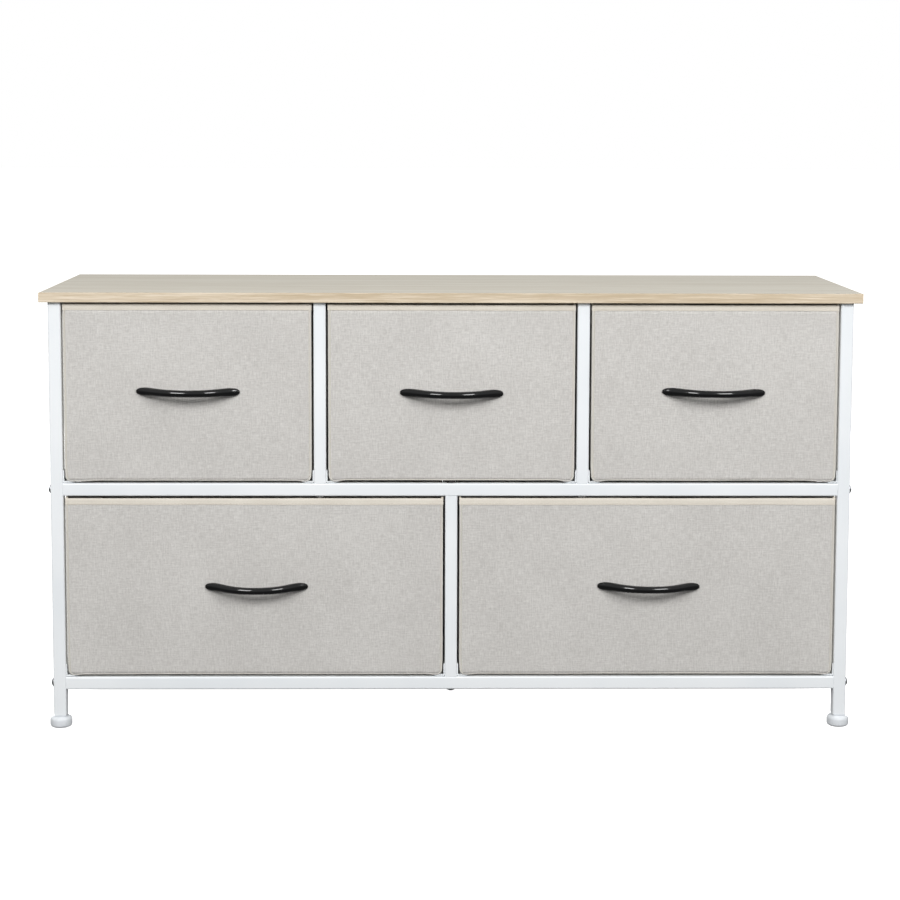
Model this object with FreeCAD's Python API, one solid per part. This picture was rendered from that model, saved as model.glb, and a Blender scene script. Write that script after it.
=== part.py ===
import FreeCAD, Part
import os
from math import sqrt

# Fabric drawer dresser: a welded and bolted frame of square steel tube with a
# wooden board on top, and sewn fabric drawers that slide on angle runners.
# Millimetres, +Z up, front towards -Y, floor at Z = 0.

Vector = FreeCAD.Vector
X = Vector(1, 0, 0)
Y = Vector(0, 1, 0)
Z = Vector(0, 0, 1)

# ---------------------------------------------------------------- driving dimensions

# Top board
board_width = 1000.0
board_depth = 300.0
board_thick = 12.0
banding_thick = 1.0
banding_edge = 0.6
board_side_overhang = 10.0
board_front_overhang = 7.0

# Square steel tube
tube = 15.0
tube_wall = 1.0
tube_corner = 1.3
plate_thick = 3.0

# Heights and rows
rail_floor_clearance = 48.0
lower_bay_height = 227.0
upper_bay_height = 223.0
upper_row = ["upper_left", "upper_middle", "upper_right"]
lower_row = ["lower_left", "lower_right"]

# Angle runners
runner_leg = 15.0
runner_thick = 1.5
runner_bend_radius = 1.4
runner_corner = 4.0
runner_setback = 2.0
runner_lift = 1.2

# Bolts of the frame
bolt_radius = 3.0
bolt_head_radius = 5.25
bolt_head_height = 3.3
bolt_length = 24.0
bolt_hole_clearance = 0.2

# Levelling feet
foot_height = 14.0
foot_radius = 13.5
foot_disc_height = 9.0
foot_neck_radius = 10.5
foot_gap = 0.4
stud_radius = 3.0
stud_length = 24.0
thread_clearance = 0.05
plug_depth = 14.0
plug_flange_thick = 1.2

# Fabric drawers
drawer_setback = 1.0
drawer_back_clearance = 5.0
drawer_side_clearance = 0.35
drawer_floor_clearance = 0.3
upper_drawer_top_gap = 3.8
lower_drawer_top_gap = 3.2
cloth_thick = 1.5
drawer_bottom_radius = 5.0
hem_height = 8.0
hem_thick = 0.8
front_board_thick = 2.5
front_board_margin = 4.0
bottom_board_thick = 3.0
bottom_board_clearance = 1.0

# Bow handles
handle_length = 126.0
handle_reach = 27.0
handle_crown_length = 32.0
handle_crown_rise = 0.6
handle_bow_thick = 7.4
handle_bow_height = 7.4
handle_bow_length = 60.0
handle_foot_spacing = 100.0
handle_foot_thick = 6.4
handle_foot_height = 12.0
handle_foot_inner_spacing = 84.0
handle_tip_height = 5.0
handle_bend_bulge = 1.5
handle_raise = 1.5

# ---------------------------------------------------------------- worked out from them

frame_width = board_width - 2 * board_side_overhang
frame_depth = board_depth - 2 * board_front_overhang
post_x = frame_width / 2 - tube / 2
post_y = frame_depth / 2 - tube / 2
front_y = -frame_depth / 2

bottom_rail_z = rail_floor_clearance
lower_floor_z = bottom_rail_z + tube
middle_rail_z = lower_floor_z + lower_bay_height
upper_floor_z = middle_rail_z + tube
board_z = upper_floor_z + upper_bay_height

inner_width = frame_width - 2 * tube
upper_bay_width = (inner_width - (len(upper_row) - 1) * tube) / len(upper_row)
lower_bay_width = (inner_width - (len(lower_row) - 1) * tube) / len(lower_row)

drawer_front_y = front_y + drawer_setback
drawer_depth = frame_depth - drawer_setback - drawer_back_clearance
lining_y = drawer_front_y + cloth_thick + front_board_thick
drawer_inner_y = lining_y + cloth_thick
handle_front_y = drawer_front_y - handle_reach
origin_shift = Vector(0, -(handle_front_y + board_depth / 2) / 2, 0)


def bay_centres(row, bay_width):
    """Middle x of each bay in a row."""
    pitch = bay_width + tube
    return [(i - (len(row) - 1) / 2) * pitch for i in range(len(row))]


def divider_centres(row, bay_width):
    """Middle x of each divider in a row."""
    centres = bay_centres(row, bay_width)
    return [(a + b) / 2 for a, b in zip(centres, centres[1:])]


upper_dividers = divider_centres(upper_row, upper_bay_width)
lower_dividers = divider_centres(lower_row, lower_bay_width)


# ---------------------------------------------------------------- small helpers

def write(name, *solids):
    """Write one node, moved from the board's middle to the shared origin."""
    shape = solids[0] if len(solids) == 1 else Part.Compound(list(solids))
    shape = shape.copy()
    shape.translate(origin_shift)
    shape.exportStep("parts/" + name + ".step")


def edges_along(shape, axis):
    """The straight edges of a shape that run along an axis."""
    picked = []
    for edge in shape.Edges:
        if isinstance(edge.Curve, Part.Line):
            if abs(abs(edge.tangentAt(edge.FirstParameter).dot(axis)) - 1) < 1e-6:
                picked.append(edge)
    return picked


def block(low, high):
    """Plain box between two opposite corners."""
    size = high - low
    return Part.makeBox(size.x, size.y, size.z, low)


def square_bar(start, length, axis, half):
    """Square bar of a half width, along axis from the middle of its start face."""
    side = Vector(1, 1, 1) - axis
    return block(start - side * half, start + side * half + axis * length)


def square_tube(start, length, axis, tapped_ends=False):
    """Square tube, open or with a welded and tapped plate inside each end."""
    inner_half = tube / 2 - tube_wall
    outer = square_bar(start, length, axis, tube / 2)
    outer = outer.makeChamfer(tube_corner, edges_along(outer, axis))
    made = outer.cut(square_bar(start, length, axis, inner_half))
    if tapped_ends:
        for end in (start, start + axis * (length - plate_thick)):
            plate = square_bar(end, plate_thick, axis, inner_half)
            made = made.fuse(plate.cut(Part.makeCylinder(bolt_radius, plate_thick, end, axis)))
    return made.removeSplitter()


def bolt(seat, axis):
    """Round-head bolt; seat is the middle of the face under its head."""
    head = Part.makeCylinder(bolt_head_radius, bolt_head_height, seat, -axis)
    return head.fuse(Part.makeCylinder(bolt_radius, bolt_length, seat, axis))


# ---------------------------------------------------------------- top board

def top_board():
    """Core board inside its edge banding."""
    half = Vector(board_width / 2 - banding_thick, board_depth / 2 - banding_thick, 0)
    return block(Vector(0, 0, board_z) - half, Vector(0, 0, board_z + board_thick) + half)


def edge_banding():
    """Four strips round the board: the long ones run the full width."""
    strips = []
    half = Vector(board_width / 2, board_depth / 2, 0)
    base = Vector(0, 0, board_z)
    for side in (-1, 1):
        long_low = base + Vector(-half.x, side * half.y - (side > 0) * banding_thick, 0)
        long_size = Vector(board_width, banding_thick, board_thick)
        short_low = base + Vector(side * half.x - (side > 0) * banding_thick,
                                  banding_thick - half.y, 0)
        short_size = Vector(banding_thick, board_depth - 2 * banding_thick, board_thick)
        for low, size, axis, outward in ((long_low, long_size, X, Y * side),
                                         (short_low, short_size, Y, X * side)):
            strip = block(low, low + size)
            outer = [e for e in edges_along(strip, axis)
                     if (e.CenterOfMass - strip.CenterOfMass).dot(outward) > 0]
            strips.append(strip.makeChamfer(min(banding_edge, 0.9 * banding_thick), outer))
    return strips


# ---------------------------------------------------------------- frame

def post(x, y):
    """Corner post with the side bolts' holes through it."""
    bottom = foot_height + plug_flange_thick
    made = square_tube(Vector(x, y, bottom), board_z - bottom, Z)
    for rail_z in (bottom_rail_z, middle_rail_z):
        start = Vector(x - tube / 2, y, rail_z + tube / 2)
        made = made.cut(Part.makeCylinder(bolt_radius + bolt_hole_clearance, tube, start, X))
    return made


def side_tubes(x):
    """Bottom, middle and top cross tubes of a side, welded between its posts."""
    tubes = []
    for z in (bottom_rail_z, middle_rail_z, board_z - tube):
        start = Vector(x, -frame_depth / 2 + tube, z + tube / 2)
        tubes.append(square_tube(start, frame_depth - 2 * tube, Y))
    return tubes


def rail(y, z):
    """Long rail between the posts, with tapped ends."""
    start = Vector(-inner_width / 2, y, z + tube / 2)
    return square_tube(start, inner_width, X, tapped_ends=True)


def side_bolts():
    """Bolts through the posts into the ends of the rails."""
    return [bolt(Vector(side * frame_width / 2, y, z + tube / 2), X * -side)
            for side in (-1, 1)
            for y in (-post_y, post_y)
            for z in (bottom_rail_z, middle_rail_z)]


def runner(bay_side_x, inward, floor_z):
    """Angle runner on one side of a bay; inward is +1 or -1 along X."""
    low_y = -frame_depth / 2 + runner_setback
    length = frame_depth - 2 * runner_setback
    z = floor_z + runner_lift
    profile = [Vector(0, 0, 0), Vector(runner_leg, 0, 0), Vector(runner_leg, 0, runner_thick),
               Vector(runner_thick, 0, runner_thick), Vector(runner_thick, 0, runner_leg),
               Vector(0, 0, runner_leg)]
    corners = [Vector(bay_side_x + p.x * inward, low_y, z + p.z) for p in profile]
    angle = Part.Face(Part.makePolygon(corners + corners[:1])).extrude(Y * length)
    bend = [e for e in edges_along(angle, Y)
            if abs(e.CenterOfMass.x - bay_side_x) < 1e-6 and abs(e.CenterOfMass.z - z) < 1e-6]
    angle = angle.makeFillet(runner_bend_radius, bend)
    tips = [e for e in edges_along(angle, Z) if abs(e.CenterOfMass.x - corners[1].x) < 1e-6]
    return angle.makeChamfer(runner_corner, tips)


def runner_pair(x, bay_width, floor_z):
    """The two runners that carry one drawer."""
    return [runner(x - bay_width / 2, 1, floor_z), runner(x + bay_width / 2, -1, floor_z)]


# ---------------------------------------------------------------- feet

def tube_plug(x, y):
    """Square plug with a threaded bore, pushed into the end of a post."""
    start = Vector(x, y, foot_height)
    flange = square_bar(start, plug_flange_thick, Z, tube / 2)
    flange = flange.makeChamfer(tube_corner, edges_along(flange, Z))
    plug = square_bar(start + Z * plug_flange_thick, plug_depth, Z, tube / 2 - tube_wall)
    bore = Part.makeCylinder(stud_radius + thread_clearance,
                             plug_depth + plug_flange_thick, start, Z)
    return flange.fuse(plug).cut(bore)


def levelling_foot(x, y):
    """Stepped foot moulded round its threaded stud, as one piece."""
    top = foot_height - foot_gap
    foot = None
    for radius, low, high in ((foot_radius, 0, foot_disc_height),
                              (foot_neck_radius, foot_disc_height, top),
                              (stud_radius, top, top + stud_length)):
        step = Part.makeCylinder(radius, high - low, Vector(x, y, low), Z)
        foot = foot.fuse(step) if foot else step
    return foot


# ---------------------------------------------------------------- drawers

def drawer_box(x, floor_z, width, height):
    """Low and high corners of a drawer's fabric box, without its hem."""
    low = Vector(x - width / 2, drawer_front_y, floor_z)
    return low, low + Vector(width, drawer_depth, height)


def fabric_box(low, high):
    """Open cloth box with a hem, and a pocket for the board behind its front."""
    body = block(low, high)
    bottom = [e for e in edges_along(body, Y) if abs(e.CenterOfMass.z - low.z) < 1e-6]
    body = body.makeFillet(drawer_bottom_radius, bottom)
    proud = Vector(hem_thick, hem_thick, 0)
    hem = block(Vector(low.x, low.y, high.z - hem_height) - proud, high + proud)
    inner_low = Vector(low.x + cloth_thick, drawer_inner_y, low.z + cloth_thick)
    inner_high = Vector(high.x - cloth_thick, high.y - cloth_thick, high.z)
    cloth = body.fuse(hem).cut(block(inner_low, inner_high))
    pocket_low, pocket_high = front_board_box(low, high)
    return cloth.cut(block(pocket_low, Vector(pocket_high.x, pocket_high.y, high.z)))


def front_board_box(low, high):
    """Corners of the board in the pocket behind the front."""
    margin = cloth_thick + front_board_margin
    board_low = Vector(low.x + margin, low.y + cloth_thick, low.z + margin)
    board_high = Vector(high.x - margin, lining_y, high.z - cloth_thick)
    return board_low, board_high


def bottom_board(low, high):
    """Loose stiff board that lies on the drawer's cloth floor."""
    gap = cloth_thick + bottom_board_clearance
    board_low = Vector(low.x + gap, drawer_inner_y + bottom_board_clearance,
                       low.z + cloth_thick)
    return block(board_low, Vector(high.x - gap, high.y - gap, board_low.z + bottom_board_thick))


def arc(start, end, bulge):
    """Arc in a level outline that swells by bulge to the left of start to end."""
    chord = end - start
    left = Vector(-chord.y, chord.x, 0).normalize()
    return Part.Arc(start, (start + end) * 0.5 + left * bulge, end).toShape()


def bow_outline():
    """Level outline of the handle from above: two feet, two bent legs and a crown."""
    crown_y = handle_crown_rise - handle_reach
    slant = handle_bow_thick * sqrt(0.5)
    tip = Vector(handle_length / 2, 0, 0)
    foot_top = Vector(handle_foot_spacing / 2, -handle_foot_thick, 0)
    crown_end = Vector(handle_crown_length / 2, crown_y, 0)
    leg = (foot_top + crown_end) * 0.5
    inner_crown_end = crown_end + Vector(-slant / 3, handle_bow_thick, 0)
    inner_leg = leg + Vector(-slant, slant, 0)
    inner_foot = Vector(handle_foot_inner_spacing / 2, 0, 0)
    half = [arc(foot_top, tip, -handle_bend_bulge),
            arc(leg, foot_top, handle_bend_bulge),
            arc(crown_end, leg, -handle_bend_bulge),
            Part.makeLine(inner_crown_end, inner_leg),
            Part.makeLine(inner_leg, inner_foot),
            Part.makeLine(inner_foot, tip)]
    crowns = [arc(Vector(-end.x, end.y, 0), end, -handle_crown_rise)
              for end in (crown_end, inner_crown_end)]
    edges = half + [edge.mirror(Vector(0, 0, 0), X) for edge in half] + crowns
    return Part.Face(Part.Wire(Part.__sortEdges__(edges)))


def bow_handle(centre):
    """Bow with flared feet: its outline from above crossed with the one from in front."""
    from_above = bow_outline().extrude(Z * handle_foot_height)
    from_above.translate(Z * (-handle_foot_height / 2))
    half = [(handle_length / 2, handle_tip_height / 2),
            (handle_foot_spacing / 2, handle_foot_height / 2),
            (handle_bow_length / 2, handle_bow_height / 2)]
    upper = half + [(-x, z) for x, z in reversed(half)]
    loop = [Vector(x, 0, z) for x, z in upper] + [Vector(x, 0, -z) for x, z in reversed(upper)]
    from_front = Part.Face(Part.makePolygon(loop + loop[:1])).extrude(-Y * handle_reach)
    handle = from_above.common(from_front)
    handle.translate(centre)
    return handle


def write_drawer(name, x, bay_floor_z, bay_width, bay_height, top_gap):
    """The four pieces of one drawer, sized from its bay and runners."""
    floor_z = bay_floor_z + runner_lift + runner_thick + drawer_floor_clearance
    width = bay_width - 2 * (runner_thick + drawer_side_clearance)
    height = bay_floor_z + bay_height - top_gap - floor_z
    low, high = drawer_box(x, floor_z, width, height)
    board_low, board_high = front_board_box(low, high)
    write(name + "_fabric_box", fabric_box(low, high))
    write(name + "_front_board", block(board_low, board_high))
    write(name + "_bottom_board", bottom_board(low, high))
    write(name + "_handle", bow_handle(Vector(x, drawer_front_y,
                                              floor_z + height / 2 + handle_raise)))


# ---------------------------------------------------------------- assembly

def write_divider(name, x, floor_z, height):
    """Front and rear posts of a divider with two cross tubes between them."""
    for end, y in (("front", -post_y), ("rear", post_y)):
        write(name + "_post_" + end, square_tube(Vector(x, y, floor_z), height, Z))
    cross = [square_tube(Vector(x, -frame_depth / 2 + tube, z + tube / 2),
                         frame_depth - 2 * tube, Y)
             for z in (floor_z, floor_z + height - tube)]
    write(name + "_cross_tubes", *cross)


def write_all():
    """Write every node of the dresser."""
    os.makedirs("parts", exist_ok=True)
    corners = [(end + "_" + side, sx * post_x, sy * post_y)
               for end, sy in (("front", -1), ("rear", 1))
               for side, sx in (("left", -1), ("right", 1))]

    write("top_board", top_board())
    write("edge_banding", *edge_banding())
    for place, x, y in corners:
        write(place + "_post", post(x, y))
        write(place + "_foot", levelling_foot(x, y))
    write("tube_plugs", *[tube_plug(x, y) for _, x, y in corners])
    write("left_side_tubes", *side_tubes(-post_x))
    write("right_side_tubes", *side_tubes(post_x))
    for end, y in (("front", -post_y), ("rear", post_y)):
        write("middle_rail_" + end, rail(y, middle_rail_z))
        write("bottom_rail_" + end, rail(y, bottom_rail_z))
    for side, x in zip(("left", "right"), upper_dividers):
        write_divider("upper_divider_" + side, x, upper_floor_z, upper_bay_height)
    write_divider("lower_divider", lower_dividers[0], lower_floor_z, lower_bay_height)
    write("side_bolts", *side_bolts())
    rows = ((upper_row, upper_bay_width, upper_floor_z, upper_bay_height, upper_drawer_top_gap),
            (lower_row, lower_bay_width, lower_floor_z, lower_bay_height, lower_drawer_top_gap))
    for row, bay_width, floor_z, bay_height, top_gap in rows:
        for name, x in zip(row, bay_centres(row, bay_width)):
            write(name + "_runners", *runner_pair(x, bay_width, floor_z))
            write_drawer(name, x, floor_z, bay_width, bay_height, top_gap)


write_all()
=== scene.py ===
from math import cos, pi, radians, sin

import bmesh
import bpy
from mathutils import Matrix, Vector, noise


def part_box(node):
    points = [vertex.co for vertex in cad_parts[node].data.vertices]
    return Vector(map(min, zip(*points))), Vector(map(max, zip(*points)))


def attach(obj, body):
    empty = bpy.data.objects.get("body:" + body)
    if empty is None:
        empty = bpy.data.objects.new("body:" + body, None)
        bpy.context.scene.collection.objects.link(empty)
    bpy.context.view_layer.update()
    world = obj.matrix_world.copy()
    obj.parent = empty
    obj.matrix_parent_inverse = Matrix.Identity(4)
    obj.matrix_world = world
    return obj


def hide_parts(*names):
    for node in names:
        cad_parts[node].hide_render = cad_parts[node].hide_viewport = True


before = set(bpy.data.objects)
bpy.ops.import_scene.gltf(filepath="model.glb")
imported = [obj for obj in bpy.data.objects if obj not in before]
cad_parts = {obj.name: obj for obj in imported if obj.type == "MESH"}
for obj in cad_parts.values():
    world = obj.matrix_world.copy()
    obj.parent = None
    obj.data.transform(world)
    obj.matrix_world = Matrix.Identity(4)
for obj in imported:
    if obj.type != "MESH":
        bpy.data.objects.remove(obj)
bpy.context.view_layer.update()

mm = 0.001
X, Y, Z = Vector((1, 0, 0)), Vector((0, 1, 0)), Vector((0, 0, 1))


# ------------------------------------------------------------------ node trees

def plug(tree, socket, value):
    """Link a Socket to an input, or set a plain value on it."""
    if isinstance(value, Socket):
        tree.links.new(value.output, socket)
    else:
        socket.default_value = value


class Socket:
    """An output in a node tree that takes arithmetic."""

    def __init__(self, tree, output):
        self.tree, self.output = tree, output

    def math(self, operation, *values):
        node = self.tree.nodes.new("ShaderNodeMath")
        node.operation = operation
        for socket, value in zip(node.inputs, (self, *values)):
            plug(self.tree, socket, value)
        return Socket(self.tree, node.outputs[0])

    def __add__(self, other):
        return self.math("ADD", other)

    def __sub__(self, other):
        return self.math("SUBTRACT", other)

    def __mul__(self, other):
        return self.math("MULTIPLY", other)

    __radd__, __rmul__ = __add__, __mul__

    def __rsub__(self, other):
        return self * -1 + other

    def __truediv__(self, other):
        return self.math("DIVIDE", other)

    def ramp(self, low, high):
        """0 below low, 1 above high, smooth between them."""
        share = ((self - low) / (high - low)).math("MAXIMUM", 0.0).math("MINIMUM", 1.0)
        return share * share * (3.0 - 2.0 * share)


class Tree:
    """A node tree with one call for any node."""

    def __init__(self, tree):
        self.tree = tree
        tree.nodes.clear()

    def node(self, kind, inputs=(), output=0, **settings):
        """Add a node: settings are its own fields, inputs go by name or number."""
        made = self.tree.nodes.new(kind)
        for field, value in settings.items():
            setattr(made, field, value)
        for key, value in dict(inputs).items():
            plug(self.tree, made.inputs[key], value)
        return Socket(self.tree, made.outputs[output]) if made.outputs else None


class Finish(Tree):
    """A material around one Principled shader, in object coordinates in metres."""

    def __init__(self, name, **constants):
        self.material = bpy.data.materials.new(name)
        self.material.use_nodes = True
        super().__init__(self.material.node_tree)
        self.place = self.node("ShaderNodeTexCoord", output="Object")
        parts = self.node("ShaderNodeSeparateXYZ", {0: self.place}).output.node.outputs
        self.x, self.y, self.z = (Socket(self.tree, part) for part in parts)
        shader = self.node("ShaderNodeBsdfPrincipled")
        self.shader = shader.output.node
        self.node("ShaderNodeOutputMaterial", {"Surface": shader})
        for key, value in constants.items():
            self.set(key.replace("_", " "), value)

    def set(self, name, value):
        """Give one of the shader's inputs a value or a link."""
        plug(self.tree, self.shader.inputs[name], value)

    def at(self, x, y, z):
        """Place made of three values."""
        return self.node("ShaderNodeCombineXYZ", {0: x, 1: y, 2: z})

    def noise(self, vector, scale=1.0, detail=2.0, roughness=0.5):
        """Even noise of 0 to 1, with scale as its repeats in a metre."""
        return self.node("ShaderNodeTexNoise", {"Vector": vector, "Scale": scale, "Detail": detail,
                                                "Roughness": roughness})

    def mix(self, factor, first, second):
        """Colour between first and second."""
        return self.node("ShaderNodeMix", {0: factor, 6: first, 7: second}, output=2,
                         data_type="RGBA")

    def bump(self, height, distance):
        """Raise the surface by up to a distance, where height is 1."""
        self.set("Normal", self.node("ShaderNodeBump", {"Height": height, "Distance": distance}))


def rgb(red, green, blue):
    """Screen colour of 0 to 255 as linear light."""
    return tuple(((c / 255 + 0.055) / 1.055) ** 2.4 for c in (red, green, blue)) + (1.0,)


# ------------------------------------------------------------------ finishes

def powder_coat():
    """White powder coat: a faint orange peel and slightly uneven gloss."""
    made = Finish("powder_coat", Metallic=0.0, IOR=1.5)
    peel = made.noise(made.place, 420.0, 2.0)
    cloud = made.noise(made.place, 9.0, 3.0)
    made.set("Base Color", made.mix(cloud.ramp(0.3, 0.7), rgb(236, 240, 243), rgb(242, 245, 247)))
    made.set("Roughness", 0.36 + cloud * 0.12)
    made.bump(peel, 0.00005)
    return made.material


def linen():
    """Linen-look facing: plain weave with slubs along both threads."""
    made = Finish("linen", Sheen_Weight=0.15, Sheen_Roughness=0.5, IOR=1.4)
    x, z = made.x, made.z
    thread_pitch = 0.85 * mm
    warp = (x * (2 * pi / thread_pitch)).math("SINE")
    weft = (z * (2 * pi / thread_pitch)).math("SINE")
    over = (warp * weft).ramp(-0.4, 0.4)
    upright = made.noise(made.at(x * 760.0, 0.0, z * 90.0), 1.0, 3.0, 0.6)
    level = made.noise(made.at(x * 90.0, 4.0, z * 760.0), 1.0, 3.0, 0.6)
    heather = made.noise(made.at(x * 420.0, 9.0, z * 420.0), 1.0, 3.0, 0.7)
    cloud = made.noise(made.place, 14.0, 3.0)
    slub = upright * over + level * (1.0 - over)
    tone = slub * 0.45 + upright * 0.2 + level * 0.12 + heather * 0.3 + cloud * 0.12
    made.set("Base Color", made.mix(tone.ramp(0.42, 0.82), rgb(190, 187, 183), rgb(225, 223, 219)))
    made.set("Roughness", 0.82 + heather * 0.12)
    made.bump(slub * 0.7 + over * 0.3, 0.00022)
    return made.material


def felt(name, dark, light):
    """Non-woven cloth with a grid of small bonding dots."""
    made = Finish(name, Sheen_Weight=0.1, IOR=1.4)
    x, y, z = made.x, made.y, made.z
    turns = 2 * pi / (1.6 * mm)
    dots = ((x + y) * turns).math("SINE") * ((z + (x - y) * 0.5) * turns).math("SINE")
    fibre = made.noise(made.place, 900.0, 3.0, 0.7)
    cloud = made.noise(made.place, 22.0, 3.0)
    tone = fibre * 0.5 + cloud * 0.4 + dots.ramp(0.2, 0.8) * 0.12
    made.set("Base Color", made.mix(tone.ramp(0.25, 0.75), dark, light))
    made.set("Roughness", 0.8 + fibre * 0.15)
    made.bump(fibre * 0.6 - dots.ramp(0.3, 0.8) * 0.5, 0.00012)
    return made.material


def thread():
    """Cream sewing thread with its twist."""
    made = Finish("thread", Sheen_Weight=0.2)
    turns = 2 * pi / (0.5 * mm)
    twist = ((made.x + made.y + made.z * 0.7) * turns).math("SINE")
    made.set("Base Color", made.mix(twist.ramp(-1.0, 1.0), rgb(196, 188, 174), rgb(226, 219, 206)))
    made.set("Roughness", 0.6 + twist * 0.05)
    made.bump(twist, 0.00004)
    return made.material


def wood_print(name, dark, light, contrast):
    """Oak print: long fine streaks along X, and along Y on the banding of the ends."""
    made = Finish(name, IOR=1.45, Specular_IOR_Level=0.35)
    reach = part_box("top_board")[1].x
    end = made.x.math("ABSOLUTE").math("GREATER_THAN", reach)
    along, side = made.x + (made.y - made.x) * end, made.y + (made.x - made.y) * end
    wander = made.noise(made.at(along * 3.0, side * 9.0, made.z * 9.0))
    line = side + made.z + wander * 0.006
    streak = made.noise(made.at(along * 20.0, line * 620.0, 1.5), 1.0, 4.0, 0.62)
    broad = made.noise(made.at(along * 2.2, line * 70.0, 6.5), 1.0, 3.0)
    pores = made.noise(made.at(along * 60.0, line * 1500.0, 3.5))
    tone = streak * 0.55 + broad * 0.45 - pores.ramp(0.6, 0.78) * 0.10
    made.set("Base Color", made.mix(tone.ramp(0.5 - contrast, 0.5 + contrast), dark, light))
    made.set("Roughness", 0.5 + streak * 0.16)
    made.bump(streak * 0.4 - pores.ramp(0.58, 0.75) * 0.6, 0.00005)
    return made.material


def gloss_black():
    """Polished black plating with faint handling marks."""
    made = Finish("gloss_black", IOR=1.5, Specular_IOR_Level=0.28,
                  Coat_Weight=0.6, Coat_Roughness=0.06)
    smear = made.noise(made.place, 160.0, 3.0)
    made.set("Base Color", made.mix(smear, rgb(6, 6, 7), rgb(11, 11, 12)))
    made.set("Roughness", 0.13 + smear.ramp(0.4, 0.8) * 0.08)
    made.bump(smear, 0.000008)
    return made.material


def zinc():
    """Bright zinc plate with fine turning marks."""
    made = Finish("zinc", Metallic=1.0)
    grain = made.noise(made.place, 700.0, 3.0)
    made.set("Base Color", made.mix(grain, rgb(150, 152, 158), rgb(194, 196, 200)))
    made.set("Roughness", 0.2 + grain * 0.12)
    made.bump(grain, 0.00003)
    return made.material


def nylon():
    """Moulded white nylon, slightly mottled."""
    made = Finish("nylon", IOR=1.5, Subsurface_Weight=0.4, Subsurface_Radius=(0.006, 0.006, 0.006))
    mottle = made.noise(made.place, 260.0, 2.0)
    made.set("Base Color", made.mix(mottle, rgb(224, 228, 232), rgb(236, 239, 242)))
    made.set("Roughness", 0.32 + mottle * 0.12)
    made.bump(mottle, 0.00005)
    return made.material


steel_white = powder_coat()
linen_cloth = linen()
cream_cloth = felt("cream_felt", rgb(217, 211, 200), rgb(234, 229, 219))
binding_cloth = felt("binding_tape", rgb(211, 204, 192), rgb(229, 223, 212))
edge_cloth = felt("edge_tape", rgb(200, 197, 189), rgb(217, 214, 207))
board_wrap = felt("board_wrap", rgb(196, 189, 176), rgb(214, 208, 196))
cream_thread = thread()
oak_top = wood_print("oak_top", rgb(209, 202, 187), rgb(226, 222, 210), 0.18)
oak_edge = wood_print("oak_edge", rgb(196, 178, 150), rgb(233, 220, 200), 0.15)
black = gloss_black()
bright_zinc = zinc()
white_nylon = nylon()


# ------------------------------------------------------------------ mesh helpers

def add_object(name, data):
    """Put a new object in the scene."""
    made = bpy.data.objects.new(name, data)
    bpy.context.scene.collection.objects.link(made)
    return made


def new_object(name, bm, material, sharp=35.0):
    """Make an object from a bmesh: smooth, with edges above an angle kept sharp."""
    bmesh.ops.recalc_face_normals(bm, faces=bm.faces)
    for face in bm.faces:
        face.smooth = True
    for edge in bm.edges:
        if edge.is_manifold and edge.calc_face_angle(0.0) > radians(sharp):
            edge.smooth = False
    mesh = bpy.data.meshes.new(name)
    bm.to_mesh(mesh)
    bm.free()
    mesh.materials.append(material)
    return add_object(name, mesh)


def modified_mesh(made):
    """The mesh that an object's modifiers make."""
    bpy.context.view_layer.update()
    graph = bpy.context.evaluated_depsgraph_get()
    return bpy.data.meshes.new_from_object(made.evaluated_get(graph))


def bake(made):
    """Replace an object's mesh by what its modifiers make of it."""
    mesh = modified_mesh(made)
    old = made.data
    made.modifiers.clear()
    made.data = mesh
    if old.users == 0:
        bpy.data.meshes.remove(old)
    mesh.name = made.name
    return made


def flatten_shading(made):
    """Flat faces keep flat shading beside their rounded edges."""
    weight = made.modifiers.new("flat faces", "WEIGHTED_NORMAL")
    weight.keep_sharp = True
    return bake(made)


def solid_boxes(node):
    """Low and high corner of each separate solid of a CAD node."""
    bm = bmesh.new()
    bm.from_mesh(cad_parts[node].data)
    bmesh.ops.remove_doubles(bm, verts=bm.verts, dist=2e-6)
    seen, boxes = set(), []
    for start in bm.verts:
        if start in seen:
            continue
        seen.add(start)
        stack, group = [start], []
        while stack:
            vert = stack.pop()
            group.append(vert.co.copy())
            for edge in vert.link_edges:
                other = edge.other_vert(vert)
                if other not in seen:
                    seen.add(other)
                    stack.append(other)
        low = Vector([min(p[i] for p in group) for i in range(3)])
        high = Vector([max(p[i] for p in group) for i in range(3)])
        boxes.append((low, high))
    bm.free()
    return boxes


def loft(bm, rings):
    """Skin rings of points, each ring closed on itself, with a face on both ends."""
    rows = [[bm.verts.new(p) for p in ring] for ring in rings]
    count = len(rows[0])
    for a, b in zip(rows, rows[1:]):
        for i in range(count):
            j = (i + 1) % count
            bm.faces.new((a[i], a[j], b[j], b[i]))
    bm.faces.new(reversed(rows[0]))
    bm.faces.new(rows[-1])


def rounded_square(half_a, half_b, radius, steps=4):
    """Outline of a rectangle with rounded corners, as (a, b) pairs."""
    outline = []
    for quarter, (sa, sb) in enumerate(((1, 1), (-1, 1), (-1, -1), (1, -1))):
        for i in range(steps + 1):
            turn = (quarter + i / steps) * pi / 2
            outline.append((sa * (half_a - radius) + radius * cos(turn),
                            sb * (half_b - radius) + radius * sin(turn)))
    return outline


def level_ring(height, segments, reach):
    """Ring of points round Z, where reach gives the distance at each angle."""
    turns = [2 * pi * i / segments for i in range(segments)]
    return [Vector((reach(t) * cos(t), reach(t) * sin(t), height)) for t in turns]


def revolve(bm, outline, centre, segments):
    """Lathe of (radius, height) pairs round an upright axis through centre."""
    loft(bm, [[centre + point for point in level_ring(height, segments, lambda turn: radius)]
              for radius, height in outline])


def refinish(node, finish):
    """Give a CAD node that stays visible its finish."""
    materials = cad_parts[node].data.materials
    materials.clear()
    materials.append(finish)


# ------------------------------------------------------------------ copies by Geometry Nodes

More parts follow.
